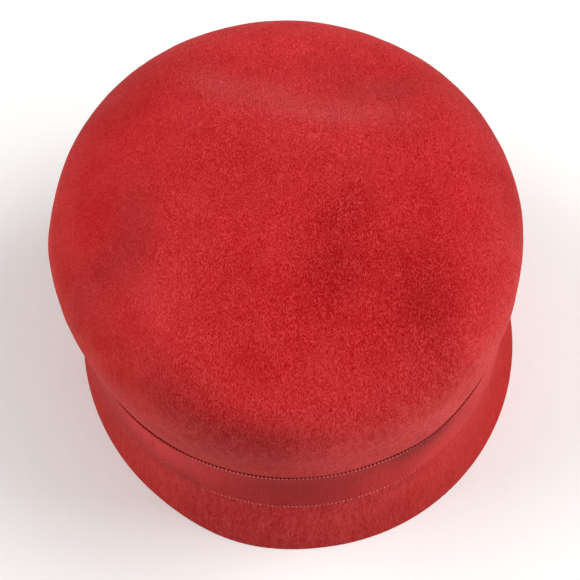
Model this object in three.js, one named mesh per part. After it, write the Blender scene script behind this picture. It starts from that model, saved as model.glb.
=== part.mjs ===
// Cloche hat of red velour felt: a low bubble crown, a short bell brim and a petersham ribbon round the waist
// between them. Millimetres, Z up, the cut edge of the brim on Z = 0, the front towards -Y.
import * as THREE from "three";

const steps = 72; // points round each oval section
const feltThickness = 2.2;
const ribbonThickness = 1.0;
const seat = 0.3; // clearance between neighbouring pieces

const ribbonFoot = 23.8; // height of the ribbon's lower edge
const ribbonWidth = 25.4;
const ribbonHead = ribbonFoot + ribbonWidth; // height of its upper edge
const ribbonRows = 5; // sections up its width
const seam = 36.5; // height where brim and crown meet, behind the ribbon

// Ovals of the felt's outer face: half sizes, and how far the middle lies to the right and to the back.
const brimEdge = { halfWidth: 95.1, halfLength: 107.9, right: 0.6, back: 0.7 };
const waist = { halfWidth: 87.4, halfLength: 94.6, right: -1.9, back: -3.2 };
const bulge = { halfWidth: 92.2, halfLength: 100.8, right: -3.5, back: -7.8 };

// The brim's bell, from its cut edge up to the seam: flare is the share of the way from the waist to the edge.
const brimLevels = [
  { z: 0, flare: 1 },
  { z: 5.2, flare: 0.71 },
  { z: 10.8, flare: 0.47 },
  { z: 17, flare: 0.26 },
  { z: ribbonFoot, flare: 0.12 },
  { z: 30, flare: 0.03 },
  { z: seam, flare: 0 },
];

// The crown's wall, from the seam up to its widest level: swell is the share of the growth from waist to bulge,
// lean the share of the shift of its middle. The felt swells out sharply just above the ribbon.
const wallLevels = [
  { z: seam + seat, swell: 0, lean: 0 },
  { z: 43.3, swell: 0.06, lean: 0 },
  { z: ribbonHead + seat, swell: 0.19, lean: 0.02 },
  { z: 52.5, swell: 0.48, lean: 0.09 },
  { z: 56.7, swell: 0.61, lean: 0.21 },
  { z: 62.8, swell: 0.77, lean: 0.4 },
  { z: 69, swell: 0.89, lean: 0.6 },
  { z: 75.7, swell: 0.97, lean: 0.8 },
  { z: 82.4, swell: 1, lean: 1 },
];

// The top of the crown: a flat dome with a tight shoulder.
const domeRise = 35.5;
const domePower = 3; // above 2 the top is flatter and the shoulder tighter than an ellipse
const domeRows = 17;

// Soft dents in the top: middle, half sizes along and across, turn of the long way from +X, and depth.
// A depth below zero is a raised fold.
const dents = [
  { x: 15, y: -44, along: 25, across: 15.5, turn: 77, depth: 1.9 }, // right of the middle
  { x: 43, y: -68, along: 21, across: 14.5, turn: 83, depth: 2.2 }, // inside the right shoulder
  { x: -63, y: -35, along: 18.5, across: 12.5, turn: 49, depth: 2.2 }, // inside the left shoulder
  { x: 28, y: 37, along: 29, across: 10.5, turn: 8, depth: 2 }, // valley behind the fold
  { x: 2, y: 32, along: 39, across: 9, turn: -17, depth: -1.1 }, // fold across the back of the top
];

const reds = { felt: 0xb4161c, brim: 0xb0171d, ribbon: 0x9c1d22 };

function blend(low, high, share) {
  return low + (high - low) * share;
}

function blendOval(low, high, size, shift) {
  return {
    halfWidth: blend(low.halfWidth, high.halfWidth, size),
    halfLength: blend(low.halfLength, high.halfLength, size),
    right: blend(low.right, high.right, shift),
    back: blend(low.back, high.back, shift),
  };
}

// Points of one oval section, counter-clockwise from above.
function section(oval, z) {
  return Array.from({ length: steps }, (_, i) => {
    const turn = (2 * Math.PI * i) / steps;
    const x = oval.right + oval.halfWidth * Math.cos(turn);
    const y = oval.back + oval.halfLength * Math.sin(turn);
    return new THREE.Vector3(x, y, z);
  });
}

// How far the dents lower the top at a point.
function sink(point) {
  return dents.reduce((sum, dent) => {
    const turn = THREE.MathUtils.degToRad(dent.turn);
    const dx = point.x - dent.x;
    const dy = point.y - dent.y;
    const u = (dx * Math.cos(turn) + dy * Math.sin(turn)) / dent.along;
    const v = (dy * Math.cos(turn) - dx * Math.sin(turn)) / dent.across;
    return sum + dent.depth * Math.exp(-u * u - v * v);
  }, 0);
}

// Outward normals of stacked sections, from the neighbouring points round and up.
function normals(rings) {
  return rings.map((ring, r) => {
    const below = rings[Math.max(r - 1, 0)];
    const above = rings[Math.min(r + 1, rings.length - 1)];
    return ring.map((_, i) => {
      const round = ring[(i + 1) % steps].clone().sub(ring[(i + steps - 1) % steps]);
      const up = above[i].clone().sub(below[i]);
      return round.cross(up).normalize();
    });
  });
}

// The same sections moved along their normals. Rings named level stay at their height, so that their edges are flat.
function offset(rings, distance, level) {
  const outward = normals(rings);
  return rings.map((ring, r) =>
    ring.map((point, i) => {
      const way = outward[r][i].clone();
      if (level.includes(r)) {
        way.setZ(0).normalize();
      }
      return point.clone().addScaledVector(way, distance);
    }),
  );
}

// One closed skin over a loop of rings: each is joined to the next, and the last to the first.
function skin(loop) {
  const corners = [];
  loop.forEach((ring, r) => {
    const next = loop[(r + 1) % loop.length];
    for (let i = 0; i < steps; i += 1) {
      const j = (i + 1) % steps;
      const quad = [ring[i], ring[j], next[j], next[i]];
      addTriangle(corners, quad[0], quad[1], quad[2]);
      addTriangle(corners, quad[0], quad[2], quad[3]);
    }
  });
  const geometry = new THREE.BufferGeometry().setFromPoints(corners);
  geometry.computeVertexNormals();
  return geometry;
}

// A ring drawn together to a pole has triangles with no area, which are left out.
function addTriangle(corners, a, b, c) {
  if (a.equals(b) || b.equals(c) || c.equals(a)) {
    return;
  }
  corners.push(a, b, c);
}

function piece(name, geometry, color, roughness) {
  const material = new THREE.MeshStandardMaterial({ color, roughness, metalness: 0 });
  const mesh = new THREE.Mesh(geometry, material);
  mesh.name = name;
  return mesh;
}

// Brim: a bell-shaped felt collar, cut flat at its edge and at the seam.
const brimOuter = brimLevels.map(({ z, flare }) => section(blendOval(waist, brimEdge, flare, flare), z));
const brimInner = offset(brimOuter, -feltThickness, [0, brimOuter.length - 1]);
const brim = piece("brim", skin([...brimOuter, ...brimInner.reverse()]), reds.brim, 0.95);

// Crown: wall, shoulder and top in one felt shell, open below.
const crownOuter = wallLevels.map(({ z, swell, lean }) => section(blendOval(waist, bulge, swell, lean), z));
const springing = wallLevels[wallLevels.length - 1].z;
for (let r = 1; r <= domeRows; r += 1) {
  const climb = (Math.PI / 2) * (r / domeRows);
  const reach = r < domeRows ? Math.cos(climb) ** (2 / domePower) : 0;
  const rise = domeRise * Math.sin(climb) ** (2 / domePower);
  const oval = { ...bulge, halfWidth: bulge.halfWidth * reach, halfLength: bulge.halfLength * reach };
  const ring = section(oval, springing + rise);
  ring.forEach((point) => point.setZ(point.z - sink(point)));
  crownOuter.push(ring);
}
const crownInner = offset(crownOuter, -feltThickness, [0]);
crownInner[crownInner.length - 1].forEach((pole) => pole.setZ(pole.z - feltThickness));
const crown = piece("crown", skin([...crownOuter, ...crownInner.reverse()]), reds.felt, 0.95);

// Ribbon band: a closed loop that lies on the felt from brim to crown.
function feltOvalAt(z) {
  const levels = z <= seam ? brimLevels : wallLevels;
  const above = Math.max(levels.findIndex((level) => level.z >= z), 1);
  const [low, high] = [levels[above - 1], levels[above]];
  const share = (z - low.z) / (high.z - low.z);
  if (z <= seam) {
    const flare = blend(low.flare, high.flare, share);
    return blendOval(waist, brimEdge, flare, flare);
  }
  return blendOval(waist, bulge, blend(low.swell, high.swell, share), blend(low.lean, high.lean, share));
}

const ribbonLevels = Array.from({ length: ribbonRows }, (_, r) => blend(ribbonFoot, ribbonHead, r / (ribbonRows - 1)));
const ribbonBack = ribbonLevels.map((z) => section(feltOvalAt(z), z));
const ends = [0, ribbonRows - 1];
const ribbonInner = offset(ribbonBack, seat, ends);
const ribbonOuter = offset(ribbonBack, seat + ribbonThickness, ends);
const ribbon = piece("ribbon_band", skin([...ribbonOuter, ...ribbonInner.reverse()]), reds.ribbon, 0.8);

const hat = new THREE.Group();
hat.name = "cloche_hat";
hat.add(crown, brim, ribbon);

export default hat;
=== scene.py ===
import math
import bpy
import numpy as np
from mathutils import Matrix, Vector


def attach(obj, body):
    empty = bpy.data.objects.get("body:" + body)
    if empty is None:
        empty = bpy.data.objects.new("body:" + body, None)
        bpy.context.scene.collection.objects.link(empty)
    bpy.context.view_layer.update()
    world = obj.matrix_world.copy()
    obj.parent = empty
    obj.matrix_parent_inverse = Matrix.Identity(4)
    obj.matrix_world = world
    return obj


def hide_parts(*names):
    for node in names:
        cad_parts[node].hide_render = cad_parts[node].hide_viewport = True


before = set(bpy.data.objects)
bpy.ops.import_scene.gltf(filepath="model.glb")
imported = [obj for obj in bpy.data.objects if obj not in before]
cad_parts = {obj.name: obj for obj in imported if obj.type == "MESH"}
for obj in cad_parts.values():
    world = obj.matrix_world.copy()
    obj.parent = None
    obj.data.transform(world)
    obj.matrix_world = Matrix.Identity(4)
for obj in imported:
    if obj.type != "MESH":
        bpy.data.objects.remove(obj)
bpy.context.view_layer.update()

mm = 0.001
print("frame loaded:", ", ".join(sorted(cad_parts)))

# ovals of the felt's outer face in mm: half sizes, and the shift of the middle to the right and to the back
shape = {
    "edge": {"halfWidth": 95.3, "halfLength": 108.1, "right": 0.8, "back": 0.7},
    "waist": {"halfWidth": 87.4, "halfLength": 94.6, "right": -1.9, "back": -3.2},
    "bulge": {"halfWidth": 92.2, "halfLength": 100.8, "right": -3.5, "back": -7.8},
    "felt": 2.2,  # thickness
    "inside": 40,  # height of a point in the hollow that outer faces turn away from
    "smooth": 60,  # degrees up to which faces of the felt are shaded as one
}


def blendOval(low, high, size, shift):
    share = {"halfWidth": size, "halfLength": size, "right": shift, "back": shift}
    return {key: low[key] + (high[key] - low[key]) * share[key] for key in share}


def clearSelection():
    if bpy.context.object and bpy.context.object.mode != "OBJECT":
        bpy.ops.object.mode_set(mode="OBJECT")
    bpy.ops.object.select_all(action="DESELECT")


def startRing(name, points, oval, z):
    clearSelection()
    bpy.ops.mesh.primitive_circle_add(vertices=points, radius=1, location=(0, 0, 0))
    piece = bpy.context.object
    piece.name = piece.data.name = name
    bpy.ops.object.mode_set(mode="EDIT")
    bpy.ops.mesh.select_all(action="SELECT")
    size = (oval["halfWidth"] * mm, oval["halfLength"] * mm, 1)
    bpy.ops.transform.resize(value=size, center_override=(0, 0, 0))
    bpy.ops.transform.translate(value=(oval["right"] * mm, oval["back"] * mm, z * mm))
    return piece


def nextRing(low, lowZ, high, highZ):
    move = ((high["right"] - low["right"]) * mm, (high["back"] - low["back"]) * mm, (highZ - lowZ) * mm)
    bpy.ops.mesh.extrude_region_move(TRANSFORM_OT_translate={"value": move})
    size = (high["halfWidth"] / low["halfWidth"], high["halfLength"] / low["halfLength"], 1)
    middle = (high["right"] * mm, high["back"] * mm, highZ * mm)
    bpy.ops.transform.resize(value=size, center_override=middle)


# a tube of rings, left in edit mode with its last ring selected
def ringTube(name, points, rings):
    piece = startRing(name, points, *rings[0])
    for (low, lowZ), (high, highZ) in zip(rings, rings[1:]):
        nextRing(low, lowZ, high, highZ)
    return piece


# a smooth push of the hand at the point nearest to a place, in edit mode
def pushAt(piece, place, move, reach):
    bpy.ops.mesh.select_all(action="DESELECT")
    bpy.ops.object.mode_set(mode="OBJECT")
    away = np.linalg.norm(coordinates(piece) - np.array(place) * mm, axis=1)
    piece.data.vertices[int(away.argmin())].select = True
    bpy.ops.object.mode_set(mode="EDIT")
    bpy.ops.transform.translate(value=[step * mm for step in move], use_proportional_edit=True,
                                proportional_edit_falloff="SMOOTH", proportional_size=reach * mm)


# faces of an open wall turned outwards, seen from the hollow of the hat
def faceOutwards(piece):
    bpy.ops.mesh.select_all(action="SELECT")
    bpy.ops.mesh.normals_make_consistent(inside=False)
    bpy.ops.object.mode_set(mode="OBJECT")
    inside = Vector((0, 0, shape["inside"] * mm))
    outward = sum(1 if face.normal.dot(face.center - inside) > 0 else -1 for face in piece.data.polygons)
    if outward < 0:
        bpy.ops.object.mode_set(mode="EDIT")
        bpy.ops.mesh.flip_normals()
        bpy.ops.object.mode_set(mode="OBJECT")


def finishWith(piece, kind, **settings):
    modifier = piece.modifiers.new(kind.lower(), kind)
    for key, value in settings.items():
        setattr(modifier, key, value)
    bpy.ops.object.modifier_apply(modifier=modifier.name)


def coordinates(piece):
    spots = np.empty(len(piece.data.vertices) * 3)
    piece.data.vertices.foreach_get("co", spots)
    return spots.reshape(-1, 3)


def setCoordinates(piece, spots):
    piece.data.vertices.foreach_set("co", spots.ravel())
    piece.data.update()


def unevenness(name, size):
    clouds = bpy.data.textures.new(name, "CLOUDS")
    clouds.noise_scale = size
    clouds.noise_depth = 1
    return clouds


# camera

camera = {
    "eye": (-0.01825, -0.34060, 0.53538),
    "target": (-0.00317, -0.01921, 0.05665),
    "roll": -1.194,  # degrees
    "lens": 88.36,
    "sensor": 36,
    "nearest": 0.01,
}


def placeCamera():
    data = bpy.data.cameras.new("hatCamera")
    data.lens = camera["lens"]
    data.sensor_width = camera["sensor"]
    data.clip_start = camera["nearest"]
    body = bpy.data.objects.new("hatCamera", data)
    bpy.context.scene.collection.objects.link(body)
    eye = Vector(camera["eye"])
    look = (Vector(camera["target"]) - eye).to_track_quat("-Z", "Y").to_matrix().to_4x4()
    body.matrix_world = Matrix.Translation(eye) @ look @ Matrix.Rotation(math.radians(camera["roll"]), 4, "Z")
    bpy.context.scene.camera = body


placeCamera()
print("camera placed")


# shader sums on sockets
class Thread:
    def __init__(self, tree, socket=None):
        self.tree = tree
        self.socket = socket

    def make(self, kind, settings, inputs, out=0):
        node = self.tree.nodes.new(kind)
        for key, value in settings.items():
            if key == "stops":
                stops = node.color_ramp.elements
                while len(stops) < len(value):
                    stops.new(1)
                for stop, (position, shade) in zip(stops, value):
                    stop.position = position
                    stop.color = (*shade, 1)
            else:
                setattr(node, key, value)
        for key, value in inputs.items():
            if isinstance(value, Thread):
                self.tree.links.new(value.socket, node.inputs[key])
            else:
                node.inputs[key].default_value = value
        return Thread(self.tree, node.outputs[out] if len(node.outputs) else None)

    def sums(self, operation, first, second=0.0):
        return self.make("ShaderNodeMath", {"operation": operation}, {0: first, 1: second})

    # swings about a half
    def noise(self, place, scale, detail=2.0):
        sizes = {"Vector": place, "Scale": scale, "Detail": detail, "Roughness": 0.55}
        return self.make("ShaderNodeTexNoise", {}, sizes)

    # 0 at low and 1 at high, smooth between them
    def between(self, value, low, high):
        sizes = {"Value": value, "From Min": low, "From Max": high}
        return self.make("ShaderNodeMapRange", {"interpolation_type": "SMOOTHSTEP"}, sizes)

    # 1 at the middle of a round spot, where both u and v are 0, and fading out past 1
    def spot(self, u, v):
        return self.sums("EXPONENT", (u * u + v * v) * -1.0)

    # a place pushed aside by soft waves
    def sway(self, place, scale, reach):
        waves = self.make("ShaderNodeTexNoise", {}, {"Vector": place, "Scale": scale, "Detail": 1.0}, "Color")
        pushed = {0: waves, 1: (reach, reach, reach), 2: place}
        return self.make("ShaderNodeVectorMath", {"operation": "MULTIPLY_ADD"}, pushed)

    def parts(self, vector):
        node = self.make("ShaderNodeSeparateXYZ", {}, {"Vector": vector}).socket.node
        return [Thread(self.tree, socket) for socket in node.outputs]

    def __add__(self, other):
        return self.sums("ADD", self, other)

    __radd__ = __add__

    def __mul__(self, other):
        return self.sums("MULTIPLY", self, other)

    __rmul__ = __mul__

    def __sub__(self, other):
        return self.sums("SUBTRACT", self, other)

    def __rsub__(self, other):
        return self.sums("SUBTRACT", other, self)

    def __truediv__(self, other):
        return self.sums("DIVIDE", self, other)

    def __rtruediv__(self, other):
        return self.sums("DIVIDE", other, self)

    # two colours mixed by this value
    def mix(self, low, high, way="MIX"):
        low = low if isinstance(low, Thread) else (*low, 1)
        high = high if isinstance(high, Thread) else (*high, 1)
        return self.make("ShaderNodeMix", {"data_type": "RGBA", "blend_type": way}, {0: self, 6: low, 7: high}, 2)

    # this colour made lighter or darker
    def scaled(self, share):
        return self.make("ShaderNodeVectorMath", {"operation": "SCALE"}, {0: self, "Scale": share})


def newMaterial(name):
    material = bpy.data.materials.new(name)
    material.use_nodes = True
    material.node_tree.nodes.clear()
    return material, Thread(material.node_tree)


def closeMaterial(thread, inputs):
    surface = thread.make("ShaderNodeBsdfPrincipled", {}, inputs)
    thread.make("ShaderNodeOutputMaterial", {}, {"Surface": surface})


def closeCloth(thread, look, shade, height):
    strength, depth = look["bump"]
    bump = thread.make("ShaderNodeBump", {}, {"Strength": strength, "Distance": depth, "Height": height})
    sheen, sheenRoughness, sheenTint = look["sheen"]
    closeMaterial(thread, {"Base Color": shade, "Roughness": look["rough"], "Normal": bump, "Specular IOR Level": 0.1,
                           "Sheen Weight": sheen, "Sheen Roughness": sheenRoughness, "Sheen Tint": (*sheenTint, 1)})


# velour felt: places in metres, and slants as the share of a face's direction that points up or aside

crownVelour = {
    # reds of the nap from pressed flat to brushed up
    "reds": [(0.26, 0.0005, 0.001), (0.34, 0.002, 0.004), (0.42, 0.0112, 0.0133), (0.50, 0.0275, 0.0295),
             (0.58, 0.047, 0.049)],
    "paleRed": (0.48, 0.085, 0.09),  # nap brushed against its lie, and a painted sheen on the fold
    "strokes": (2700.0, 0.4),  # fibres per metre across the nap, and their share along it
    "grain": 4.0,  # how much the strokes show
    "fleck": (560.0, 0.65),  # flecks per metre, and how much they show
    "wallFleck": 0.6,  # how much more they show on the wall
    "cloud": (48.0, 0.8),  # clouds per metre, and how much they show
    "lie": (55.0, 0.007),  # waves per metre in the lie of the nap, and their reach
    # how far each side is brushed smooth, and between which places
    "smoothLeft": (0.4, -0.035, -0.07),
    "smoothRight": (0.0, 0.025, 0.055),
    "shoulder": (0.27, 0.985, 0.82),  # how much lighter and paler the nap's red is painted where the top turns down, as painted sheen, and at which slants
    "wall": (0.8, 0.3),  # slants at which the top turns into the wall
    "aside": (0.3, 0.6),  # squared slants at which the wall looks to the left or right
    # painted shade and light on the wall, as what it keeps of each colour: shaded under the shoulder, half way down
    # and at its rim, lit at both sides
    "browShading": (0.79, 0.98, 0.87),
    "wallShading": (0.79, 0.85, 0.66),
    "rimShading": (0.89, 0.8, 0.62),
    "leftShading": (1.04, 1.18, 0.95),
    "rightShading": (1.07, 1.32, 1.26),
    # where one turns into the next: heights, then places to the left and to the right
    "brow": (0.084, 0.069),
    "rim": (0.074, 0.055),
    "left": (-0.025, -0.075),
    "right": (-0.025, 0.015),
    # painted shadow on the felt behind the ribbon's upper edge: how far it takes this darker red, and at which
    # heights and places to the back
    "under": 0.85,
    "rimShadowRed": (0.3, 0.008, 0.01),
    "underHeight": (0.0492, 0.047),
    "underFront": (-0.025, -0.052),
    # of the spots below: waves per metre in their outlines and the reach of these in mm, and heights where they begin
    "spotSway": (35.0, 12),
    "spotHeight": (0.085, 0.1),
    "spotGrain": (2.0, 2.5),  # how much livelier the strokes are where a spot is flat, and where it is pale
    "rough": 0.95,
    "bump": (0.7, 0.0006),
    "bumpShares": (0.7, 0.8),  # of the strokes and of the flecks
    "sheen": (0.11, 0.45, (1.0, 0.45, 0.43)),  # weight, roughness and tint
}

brimVelour = dict(
    crownVelour,
    reds=[(0.27, 0.003, 0.003), (0.335, 0.011, 0.0105), (0.41, 0.024, 0.023), (0.48, 0.041, 0.04),
          (0.55, 0.06, 0.058)],
    strokes=(2700.0, 0.25),
    grain=2.8,
    fleck=(680.0, 1.5),
    wallFleck=0.0,
    cloud=(38.0, 0.6),
    smoothLeft=(0.3, -0.035, -0.07),
    smoothRight=(0.55, 0.025, 0.055),
    shoulder=(0.0, 0.985, 0.82),
    # painted light on the brim's face and its left, painted shade at its cut edge, and its right made less pale,
    # painting out sheen
    wallShading=(1.07, 1.07, 1.14),
    rimShading=(0.91, 1.0, 1.0),
    leftShading=(1.11, 1.03, 0.97),
    rightShading=(0.94, 0.45, 0.41),
    rim=(0.016, 0.001),
    right=(0.055, 0.095),
)

# places on the crown's top where the nap lies otherwise, and where light, shade and sheen are painted, in mm: middle,
# half sizes along and across, and turn of the long way, then how far it is pressed flat, how much lighter or, below
# zero, darker it looks, and how much paler
napAndLightSpots = [
    # inside the right shoulder, and right of the middle
    {"x": 43, "y": -67, "along": 25, "across": 14, "turn": 95, "flat": 0.16, "light": -0.19},
    {"x": 12, "y": -51, "along": 21, "across": 13, "turn": 80, "flat": 0.23, "light": -0.13},
    {"x": 17, "y": -23, "along": 13, "across": 9, "turn": 65, "flat": 0.27, "light": -0.09},
    # inside the left shoulder, and the rim of that dent
    {"x": -69, "y": -40, "along": 20, "across": 12, "turn": 48, "flat": 0.04, "light": -0.2, "pale": 0.04},
    {"x": -61, "y": -17, "along": 18, "across": 10, "turn": 85, "light": -0.09, "pale": 0.1},
    {"x": -52, "y": -57, "along": 18, "across": 10, "turn": 125, "light": 0.09, "pale": 0.12},
    {"x": -45, "y": -36, "along": 13, "across": 7, "turn": 90, "light": 0.07, "pale": 0.05},
    {"x": -48, "y": -87, "along": 15, "across": 7, "turn": -38, "light": -0.12, "pale": 0.02},
    # valley behind the fold
    {"x": 38, "y": 35, "along": 14, "across": 8, "turn": 15, "light": -0.16, "pale": 0.08},
    {"x": 12, "y": 40, "along": 15, "across": 7, "turn": -10, "light": 0.01, "pale": 0.07},
    {"x": 44, "y": 19, "along": 12, "across": 8, "turn": 60, "light": -0.07},
    # fold, and the felt before it, paler as raised nap and painted sheen
    {"x": -27, "y": 40, "along": 15, "across": 8, "turn": -38, "pale": 0.2},
    {"x": -3, "y": 30, "along": 17, "across": 7, "turn": -26, "light": 0.01, "pale": 0.19},
    {"x": 23, "y": 21, "along": 20, "across": 7, "turn": -7, "light": 0.01, "pale": 0.22},
    {"x": -42, "y": 21, "along": 15, "across": 6, "turn": 72, "light": 0.05, "pale": 0.06},
    {"x": 14, "y": 8, "along": 12, "across": 8, "turn": 0, "light": 0.05, "pale": 0.05},
    # back of the top, lighter in its middle as painted light, and its shoulders, darker as painted shade
    {"x": 0, "y": 25, "along": 65, "across": 36, "turn": 0, "pale": 0.025},
    {"x": 0, "y": 64, "along": 28, "across": 12, "turn": 0, "light": 0.14, "pale": 0.03},
    {"x": 25, "y": 50, "along": 22, "across": 9, "turn": -20, "light": -0.03, "pale": 0.05},
    {"x": 71, "y": 38, "along": 28, "across": 14, "turn": -55, "light": -0.17, "pale": 0.01},
    {"x": -68, "y": 46, "along": 25, "across": 14, "turn": 55, "light": -0.15, "pale": 0.02},
    # right shoulder, darker as painted shade, and the right of the front
    {"x": 86, "y": -5, "along": 38, "across": 12, "turn": 90, "light": -0.2},
    {"x": 72, "y": -45, "along": 24, "across": 10, "turn": 72, "light": -0.07},
    {"x": 30, "y": -88, "along": 18, "across": 9, "turn": 15, "light": -0.07},
    # middle, and left of it
    {"x": -15, "y": -8, "along": 11, "across": 10, "turn": 0, "flat": 0.1, "light": -0.02},
    {"x": -49, "y": 6, "along": 10, "across": 8, "turn": 0, "light": 0.05, "pale": 0.04},
]


def spotSums(thread, look, place, spots):
    waves, reach = look["spotSway"]
    x, y, z = thread.parts(thread.sway(place, waves, reach * mm))
    sums = {"flat": 0.0, "light": 0.0, "pale": 0.0}
    for spot in spots:
        turn = math.radians(spot["turn"])
        right = x - (spot["x"] + reach / 2) * mm  # the sway shifts all by half its reach
        back = y - (spot["y"] + reach / 2) * mm
        u = (right * math.cos(turn) + back * math.sin(turn)) / (spot["along"] * mm)
        v = (back * math.cos(turn) - right * math.sin(turn)) / (spot["across"] * mm)
        swell = thread.spot(u, v)
        for key in sums:
            if key in spot:
                sums[key] = sums[key] + swell * spot[key]
    onTop = thread.between(z, *look["spotHeight"])
    return [total * onTop for total in sums.values()]


def feltMaterial(name, look, spots):
    material, thread = newMaterial(name)
    place = thread.make("ShaderNodeTexCoord", {}, {}, "Object")
    right, back, up = thread.parts(place)
    facing = thread.parts(thread.make("ShaderNodeNewGeometry", {}, {}, "Normal"))
    wall = thread.between(facing[2], *look["wall"])
    aside = thread.between(facing[0] * facing[0], *look["aside"])

    # strokes that run down the front or down the sides, flecks and clouds
    fibres, share = look["strokes"]
    lie = thread.sway(place, *look["lie"])
    downFront = thread.make("ShaderNodeMapping", {}, {"Vector": lie, "Scale": (1, share, share)})
    downSide = thread.make("ShaderNodeMapping", {}, {"Vector": lie, "Scale": (share, 1, share)})
    grain = aside * thread.noise(downSide, fibres) + (1 - aside) * thread.noise(downFront, fibres)
    flecks, fleckShows = look["fleck"]
    fleck = thread.noise(downFront, flecks)
    clouds, cloudShows = look["cloud"]
    cloud = thread.noise(place, clouds)

    # how far the nap stands up, and its red
    lively = 1
    for smooth, start, full in (look["smoothLeft"], look["smoothRight"]):
        lively = lively - thread.between(right, start, full) * smooth
    if spots:
        flat, light, pale = spotSums(thread, look, place, spots)
        flatGrain, paleGrain = look["spotGrain"]
        lively = lively * (flat * flatGrain + pale * paleGrain + 1)
    nap = 0.5 + (grain - 0.5) * lively * look["grain"] + (cloud - 0.5) * cloudShows
    nap = nap + (fleck - 0.5) * lively * (wall * look["wallFleck"] + fleckShows)
    # painted sheen: the nap's red lighter and paler where the top turns down
    shoulderSheen, start, full = look["shoulder"]
    nap = nap + thread.between(facing[2], start, full) * shoulderSheen
    if spots:
        nap = nap - flat
    stops = [(step / (len(look["reds"]) - 1), red) for step, red in enumerate(look["reds"])]
    ramp = nap * 0.5 + 0.25  # room for nap from -0.5 to 1.5
    shade = thread.make("ShaderNodeValToRGB", {"stops": stops}, {"Fac": ramp})

    # painted shade and light on the wall, nap and painted light, shade and sheen on the spots, and painted shadow
    # behind the ribbon
    paintedWallShading = thread.between(up, *look["rim"]).mix(look["wallShading"], look["rimShading"])
    paintedWallShading = thread.between(up, *look["brow"]).mix(look["browShading"], paintedWallShading)
    paintedWallShading = thread.between(right, *look["right"]).mix(paintedWallShading, look["rightShading"])
    paintedWallShading = thread.between(right, *look["left"]).mix(paintedWallShading, look["leftShading"])
    shade = wall.mix(shade, paintedWallShading, "MULTIPLY")
    if spots:
        shade = pale.mix(shade.scaled(light + 1), look["paleRed"])
        # painted shadow on the felt behind the ribbon's upper edge
        under = thread.between(up, *look["underHeight"]) * thread.between(back, *look["underFront"])
        shade = (under * look["under"]).mix(shade, look["rimShadowRed"])
    strokeShare, fleckShare = look["bumpShares"]
    closeCloth(thread, look, shade, grain * strokeShare + fleck * fleckShare)
    return material


# brim: a bell-shaped collar of felt with a cut edge

brimCut = {
    "points": 96,
    # height in mm, and the share of the way from the waist to the edge
    "levels": [(0, 1), (2.4, 0.9), (5.2, 0.75), (10.8, 0.48), (17, 0.26), (23.8, 0.12), (30, 0.03), (36.5, 0)],
    # the edge stands out at the left of the front: place, move and reach
    "pull": ((-27, -103, 0), (-0.4, -1.15, 0), 40),
    "round": (0.5, 3, 50),  # rounding of the cut edge: size, steps, and degrees from which an edge is rounded
}


def makeBrim():
    rings = [(blendOval(shape["waist"], shape["edge"], flare, flare), z) for z, flare in brimCut["levels"]]
    piece = ringTube("feltBrim", brimCut["points"], rings)
    pushAt(piece, *brimCut["pull"])
    faceOutwards(piece)
    finishWith(piece, "SUBSURF", levels=1, render_levels=1)
    finishWith(piece, "SOLIDIFY", thickness=shape["felt"] * mm, offset=-1, use_even_offset=True)
    spots = coordinates(piece)
    spots[:, 2] = np.maximum(spots[:, 2], 0)  # the edge is cut level
    setCoordinates(piece, spots)
    width, steps, angle = brimCut["round"]
    finishWith(piece, "BEVEL", width=width * mm, segments=steps, limit_method="ANGLE",
               angle_limit=math.radians(angle))
    bpy.ops.object.shade_smooth_by_angle(angle=math.radians(shape["smooth"]))
    piece.data.materials.append(feltMaterial("brimVelour", brimVelour, []))
    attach(piece, "root")
    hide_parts("brim")


# crown: wall, shoulder and dented top in one felt shell

crownBlock = {
    "points": 96,
    # height in mm, share of the growth from waist to bulge, share of the shift of the middle
    "wall": [(36.8, 0, 0), (43.3, 0.06, 0), (46.6, 0.12, 0.01), (48.9, 0.17, 0.02), (49.6, 0.27, 0.04),
             (50.8, 0.43, 0.08), (53, 0.52, 0.13), (56.7, 0.61, 0.21), (62.8, 0.77, 0.4), (69, 0.89, 0.6),
             (75.7, 0.97, 0.8), (82.4, 1, 1)],
    "rise": 35.5,  # of the top over the widest level
    "power": 3,  # above 2 the top is flatter and its shoulder tighter than an ellipse
    "rows": 18,
    # pushes of the hand: place on the top, reach and depth, upwards where below zero
    "pushes": [(17, -36, 27, 0.95), (13, -52, 27, 0.95), (44, -60, 25, 1.1), (42, -76, 25, 1.2), (-57, -28, 22, 1.1),
               (-69, -42, 22, 1.2), (14, 36, 20, 0.9), (28, 38, 20, 1.0), (44, 40, 20, 0.9), (-22, 39, 17, -0.6),
               (2, 32, 17, -0.8), (24, 26, 17, -0.6)],
    # the rim comes down at the right of the front, the left side stands out: place, move and reach
    "sidePushes": [((48, -84, 51), (0, 0, -2.2), 24), ((-96, -18, 84), (-1.1, 0, 0), 34)],
    "uneven": [(0.024, 0.0008), (0.009, 0.0003)],  # size and height of soft waves in the felt, in metres
    "unevenFrom": (0.054, 0.01),  # height where they begin, and over how much they grow
}


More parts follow.
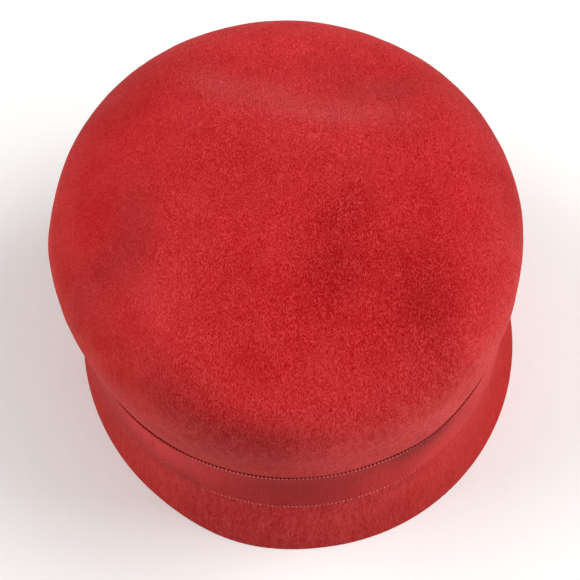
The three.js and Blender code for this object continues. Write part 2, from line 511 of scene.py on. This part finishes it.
def makeCrown():
    rings = [(blendOval(shape["waist"], shape["bulge"], swell, lean), z) for z, swell, lean in crownBlock["wall"]]
    bulge, springing = rings[-1]
    top = springing + crownBlock["rise"]
    for row in range(1, crownBlock["rows"]):
        climb = math.pi / 2 * row / crownBlock["rows"]
        reach = math.cos(climb) ** (2 / crownBlock["power"])
        rise = crownBlock["rise"] * math.sin(climb) ** (2 / crownBlock["power"])
        oval = dict(bulge, halfWidth=bulge["halfWidth"] * reach, halfLength=bulge["halfLength"] * reach)
        rings.append((oval, springing + rise))
    piece = ringTube("feltCrown", crownBlock["points"], rings)
    last = rings[-1][1]
    bpy.ops.mesh.extrude_region_move(TRANSFORM_OT_translate={"value": (0, 0, (top - last) * mm)})
    bpy.ops.mesh.merge(type="CENTER")
    pushes = [((x, y, top), (0, 0, -depth), reach) for x, y, reach, depth in crownBlock["pushes"]]
    for place, move, reach in pushes + crownBlock["sidePushes"]:
        pushAt(piece, place, move, reach)
    faceOutwards(piece)
    finishWith(piece, "SUBSURF", levels=1, render_levels=1)
    free = piece.vertex_groups.new(name="aboveRibbon")
    start, over = crownBlock["unevenFrom"]
    for vertex in piece.data.vertices:
        free.add([vertex.index], min(max((vertex.co.z - start) / over, 0), 1), "REPLACE")
    for step, (size, strength) in enumerate(crownBlock["uneven"]):
        finishWith(piece, "DISPLACE", texture=unevenness("hand%d" % step, size), strength=strength, mid_level=0.5,
                   vertex_group="aboveRibbon", texture_coords="LOCAL")
    finishWith(piece, "SOLIDIFY", thickness=shape["felt"] * mm, offset=-1, use_even_offset=True)
    bpy.ops.object.shade_smooth_by_angle(angle=math.radians(shape["smooth"]))
    piece.data.materials.append(feltMaterial("crownVelour", crownVelour, napAndLightSpots))
    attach(piece, "root")
    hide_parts("crown")


# petersham ribbon: ribs across its width, and at both edges a small loop of weft for each pair of ribs

ribbonCut = {
    "foot": 24.4,  # height of its lower edge
    "width": 22.4,  # without the scallops
    "teeth": 359,  # scallops along each edge
    "perTooth": 8,  # steps along each scallop
    "offFelt": 0.45,
    "thick": 0.55,
    "rib": [-0.2, -0.06, 0.08, -0.06, -0.19, -0.06, 0.08, -0.06],  # ridges and hollows over the steps of one tooth
    "scallop": [-0.35, 0.1, 0.3, 0.42, 0.45, 0.42, 0.3, 0.1],  # how far each step reaches past the edge
    "rows": [0, 0.04, 0.2, 0.4, 0.6, 0.8, 0.96, 1],
    # how its edges hang lower beside the front and come back: side, degrees from the front where that begins and
    # where it ends, and mm
    "headSag": [(-1, 20, 52, 3.4), (-1, 58, 78, -3.4), (1, 13, 39, 3.5), (1, 58, 78, -3.5)],
    "footSag": [(-1, 30, 52, -1.2), (-1, 58, 78, 1.2)],
    # small rises and dips of its upper edge: degrees from the front, half size, mm lower
    "headDips": [(4, 15, -0.95), (57, 9, 1.8)],
    "smooth": 70,  # degrees up to which its faces are shaded as one
    "loop": (0.55, 0.45, 0.55),  # half sizes of a loop along the edge, off the felt and up
    "loopFaces": (8, 4),  # round a loop, and from its foot to its head
    "loopPast": 0.3,  # how far its middle lies past the edge
    "loopOut": 0.2,  # and how far out of the ribbon's own middle
    "seed": 11,
    # painted highlight on the lower loops: how strong, degrees from the front where it lies, as middle and half size,
    # and spread
    "lowLoops": (0.85, -5, 33),
    "lowSpread": (0.2, 1.3),
    "highSpread": (0.8, 1.2),  # of the upper loops
    # painted shade in the hollows between the ribs
    "hollowShadeRed": (0.05, 0.0, 0.0),
    "ridgeRed": (0.73, 0.042, 0.042),
    "sideSheenRed": (0.68, 0.051, 0.051),  # of ridges and loops at the sides, paler as painted sheen
    "beside": (0.0008, 0.0028),  # where that begins, as squares of metres to the side
    "lintRed": (0.04, 0.02, 0.02),  # what loose fibres add
    "lint": (1200.0, 0.4, 0.7),  # fibres per metre, and the noise between which they come in
    # painted highlight on the loops along both edges
    "loopRed": (1.0, 0.21, 0.215),
    "unlitLoopRed": (0.62, 0.05, 0.05),  # of loops without the painted highlight
    "yarn": (1900.0, 0.7),  # threads per metre, and how much they show
    "cloud": (60.0, 0.35),
    "light": 0.85,
    # painted light and shade on the front, and a thin dark stroke at its left: place to the right and up, half sizes,
    # and how much lighter
    "shades": [(-3, 34, 29, 40, -0.31), (33, 34, 9, 20, -0.08), (-55, 25, 22, 5, -0.16), (37, 45, 14, 6, -0.2),
               (49, 42, 12, 7.5, -0.31), (50, 25, 16, 4, 0.03), (-60, 39, 11, 12, 0.19), (-84, 34, 9, 30, -0.12),
               (-61, 36, 0.6, 4, -0.35)],
    "front": (0.0, -0.02),  # places to the back between which they come in
    "rough": 0.85,
    "bump": (0.4, 0.0002),
    "sheen": (0.14, 0.35, (1.0, 0.3, 0.3)),  # weight, roughness and tint
}


# points on the oval of the waist moved out to the felt at their own height
def layOnFelt(spots):
    waist, z = shape["waist"], spots[:, 2] / mm
    along = (spots[:, 0] / mm - waist["right"]) / waist["halfWidth"]
    across = (spots[:, 1] / mm - waist["back"]) / waist["halfLength"]
    heights, flares = zip(*brimCut["levels"])
    flare = np.interp(z, heights, flares)  # 0 above the seam
    heights, swells, leans = zip(*crownBlock["wall"])
    swell, lean = np.interp(z, heights, swells), np.interp(z, heights, leans)  # 0 below it
    brim, crown = blendOval(waist, shape["edge"], flare, flare), blendOval(waist, shape["bulge"], swell, lean)
    oval = {key: brim[key] + crown[key] - waist[key] for key in waist}
    spots[:, 0] = (oval["right"] + (oval["halfWidth"] + ribbonCut["offFelt"]) * along) * mm
    spots[:, 1] = (oval["back"] + (oval["halfLength"] + ribbonCut["offFelt"]) * across) * mm


def ribbonMaterial(name, hollow, ridge):
    material, thread = newMaterial(name)
    place = thread.make("ShaderNodeTexCoord", {}, {}, "Object")
    x, y, z = thread.parts(place)
    threads, yarnShows = ribbonCut["yarn"]
    yarn = thread.noise(place, threads)
    clouds, cloudShows = ribbonCut["cloud"]
    cloud = thread.noise(place, clouds, 1.0)
    beside = thread.between(x * x, *ribbonCut["beside"])
    height = thread.make("ShaderNodeAttribute", {"attribute_name": "ridge"}, {}, "Fac")
    height = height + (yarn - 0.5) * yarnShows + (cloud - 0.5) * cloudShows
    # rib hollows take painted shade and the sides a painted sheen; on the loops the ridge red is a painted highlight
    shade = height.mix(hollow, beside.mix(ridge, ribbonCut["sideSheenRed"]))
    fibres, start, full = ribbonCut["lint"]
    lint = thread.between(thread.noise(place, fibres), start, full)
    shade = lint.mix(shade, ribbonCut["lintRed"], "ADD")
    # painted light and shade on the front of the ribbon
    light = 0.0
    for right, up, wide, tall, step in ribbonCut["shades"]:
        light = light + thread.spot((x - right * mm) / (wide * mm), (z - up * mm) / (tall * mm)) * step
    light = ribbonCut["light"] + light * thread.between(y, *ribbonCut["front"])
    closeCloth(thread, ribbonCut, shade.scaled(light), yarn)
    return material


# degrees from the front, to the right above zero
def turnOf(spots):
    right = spots[:, 0] - shape["waist"]["right"] * mm
    front = shape["waist"]["back"] * mm - spots[:, 1]
    return np.degrees(np.arctan2(right, front))


def sagOf(spots, sides, dips):
    turn = turnOf(spots)
    sag = sum(depth * np.exp(-((turn - middle) / wide) ** 2) for middle, wide, depth in dips)
    for side, start, full, depth in sides:
        share = np.clip((side * turn - start) / (full - start), 0, 1)
        sag = sag + depth * share * share * (3 - 2 * share)  # smooth at both ends
    return sag * mm


def markRidges(piece, heights):
    ridge = piece.data.attributes.new("ridge", "FLOAT", "POINT")
    ridge.data.foreach_set("value", np.asarray(heights, dtype=np.float32))


def makeRibbon():
    steps = ribbonCut["teeth"] * ribbonCut["perTooth"]
    rings = [(shape["waist"], ribbonCut["foot"] + ribbonCut["width"] * share) for share in ribbonCut["rows"]]
    piece = ringTube("petershamRibbon", steps, rings)
    faceOutwards(piece)
    spots = coordinates(piece)
    step = np.arange(len(spots)) % steps % ribbonCut["perTooth"]
    row = np.arange(len(spots)) // steps
    last = len(ribbonCut["rows"]) - 1
    up = np.array(ribbonCut["rows"])[row]
    headSag = sagOf(spots, ribbonCut["headSag"], ribbonCut["headDips"])
    spots[:, 2] -= headSag * up + sagOf(spots, ribbonCut["footSag"], []) * (1 - up)
    layOnFelt(spots)
    crest = step == ribbonCut["perTooth"] // 2
    middles = {way: spots[crest & (row == end)] for way, end in ((-1, 0), (1, last))}  # of the edge loops
    rib = np.array(ribbonCut["rib"])[step]
    outward = spots[:, :2] - np.array([shape["waist"]["right"], shape["waist"]["back"]]) * mm
    outward /= np.linalg.norm(outward, axis=1)[:, None]
    spots[:, :2] += outward * (rib * mm)[:, None]
    reach = np.array(ribbonCut["scallop"])[step] * mm
    spots[:, 2] += np.where(row == last, reach, 0) - np.where(row == 0, reach, 0)
    setCoordinates(piece, spots)
    markRidges(piece, (rib - rib.min()) / (rib.max() - rib.min()))
    finishWith(piece, "SOLIDIFY", thickness=ribbonCut["thick"] * mm, offset=1)
    bpy.ops.object.shade_smooth_by_angle(angle=math.radians(ribbonCut["smooth"]))
    piece.data.materials.append(ribbonMaterial("petersham", ribbonCut["hollowShadeRed"], ribbonCut["ridgeRed"]))
    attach(piece, "root")
    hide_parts("ribbon_band")
    loops = makeLoops(middles)


def makeLoops(middles):
    clearSelection()
    segments, rings = ribbonCut["loopFaces"]
    bpy.ops.mesh.primitive_uv_sphere_add(segments=segments, ring_count=rings, radius=1, location=(0, 0, 0))
    pattern = bpy.context.object
    bpy.ops.object.mode_set(mode="EDIT")
    bpy.ops.mesh.quads_convert_to_tris()
    bpy.ops.object.mode_set(mode="OBJECT")
    ball = coordinates(pattern) * np.array(ribbonCut["loop"]) * mm
    corners = np.array([face.vertices[:] for face in pattern.data.polygons])
    bpy.ops.object.delete()
    spots, faces = [], []
    for way, places in middles.items():
        past = np.array([0, 0, way * ribbonCut["loopPast"] * mm])
        along = np.roll(places, -1, 0) - np.roll(places, 1, 0)
        along /= np.linalg.norm(along, axis=1)[:, None]
        for middle, (ax, ay, _) in zip(places, along):
            outward = np.array([ay, -ax, 0])
            outward = outward if outward[:2] @ middle[:2] > 0 else -outward
            centre = middle + outward * (ribbonCut["thick"] / 2 + ribbonCut["loopOut"]) * mm + past
            faces.append(corners + len(spots) * len(ball))
            spots.append(centre + ball @ np.array([(ax, ay, 0), outward, (0, 0, 1)]))
    mesh = bpy.data.meshes.new("ribbonLoops")
    mesh.from_pydata(np.concatenate(spots).tolist(), [], np.concatenate(faces).tolist())
    loops = bpy.data.objects.new("ribbonLoops", mesh)
    bpy.context.scene.collection.objects.link(loops)
    clearSelection()
    loops.select_set(True)
    bpy.context.view_layer.objects.active = loops
    bpy.ops.object.mode_set(mode="EDIT")
    bpy.ops.mesh.select_all(action="SELECT")
    bpy.ops.mesh.normals_make_consistent(inside=False)
    bpy.ops.object.mode_set(mode="OBJECT")
    bpy.ops.object.shade_smooth()
    dice = np.random.default_rng(ribbonCut["seed"])
    # painted highlight on the loops, the lower ones strongest at the front, both rows with a random spread
    light, turn, wide = ribbonCut["lowLoops"]
    free = light * np.exp(-((turnOf(middles[-1]) - turn) / wide) ** 4)
    low = free * dice.uniform(*ribbonCut["lowSpread"], len(free))
    high = dice.uniform(*ribbonCut["highSpread"], len(middles[1]))
    markRidges(loops, np.repeat(np.concatenate([low, high]), len(ball)))
    mesh.materials.append(ribbonMaterial("weftLoops", ribbonCut["unlitLoopRed"], ribbonCut["loopRed"]))
    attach(loops, "root")
    return loops


makeBrim()
print("brim made")
makeCrown()
print("crown made")
makeRibbon()
print("ribbon made")

# floor and light

studio = {
    "floor": (0.86, 0.86, 0.85),
    "floorSize": 6,
    "floorGrain": {"Scale": 90.0, "Detail": 4.0, "Roughness": 0.6},
    "floorBump": (0.15, 0.002),
    "floorRough": 0.9,
    "sky": (1.0, 0.985, 0.97),
    "skyStrength": 0.35,
    # place, watts, size
    "lamps": [((0.9, 0, 1), 15.0, 0.9), ((-0.9, 0, 1), 10.0, 0.9), ((0.9, -0.9, 0.4), 3.0, 0.9)],
    "aim": (0, 0, 0.06),  # what the lamps point at
}


def makeFloor():
    clearSelection()
    bpy.ops.mesh.primitive_plane_add(size=studio["floorSize"], location=(0, 0, 0))
    floor = bpy.context.object
    floor.name = "floor"
    material, thread = newMaterial("paleFloor")
    place = thread.make("ShaderNodeTexCoord", {}, {}, "Object")
    grain = thread.make("ShaderNodeTexNoise", {}, {"Vector": place, **studio["floorGrain"]})
    strength, depth = studio["floorBump"]
    bump = thread.make("ShaderNodeBump", {}, {"Strength": strength, "Distance": depth, "Height": grain})
    closeMaterial(thread, {"Base Color": (*studio["floor"], 1), "Roughness": studio["floorRough"], "Normal": bump})
    floor.data.materials.append(material)


def makeLight():
    world = bpy.data.worlds.new("studioSky")
    bpy.context.scene.world = world
    world.use_nodes = True
    sky = world.node_tree.nodes["Background"]
    sky.inputs["Color"].default_value = (*studio["sky"], 1)
    sky.inputs["Strength"].default_value = studio["skyStrength"]
    for number, (place, watts, size) in enumerate(studio["lamps"]):
        data = bpy.data.lights.new("softLamp%d" % number, "AREA")
        data.energy = watts
        data.size = size
        lamp = bpy.data.objects.new("softLamp%d" % number, data)
        bpy.context.scene.collection.objects.link(lamp)
        lamp.location = place
        lamp.rotation_euler = (Vector(studio["aim"]) - Vector(place)).to_track_quat("-Z", "Y").to_euler()
    bpy.context.scene.view_settings.view_transform = "Standard"


makeFloor()
makeLight()
print("floor and light made")
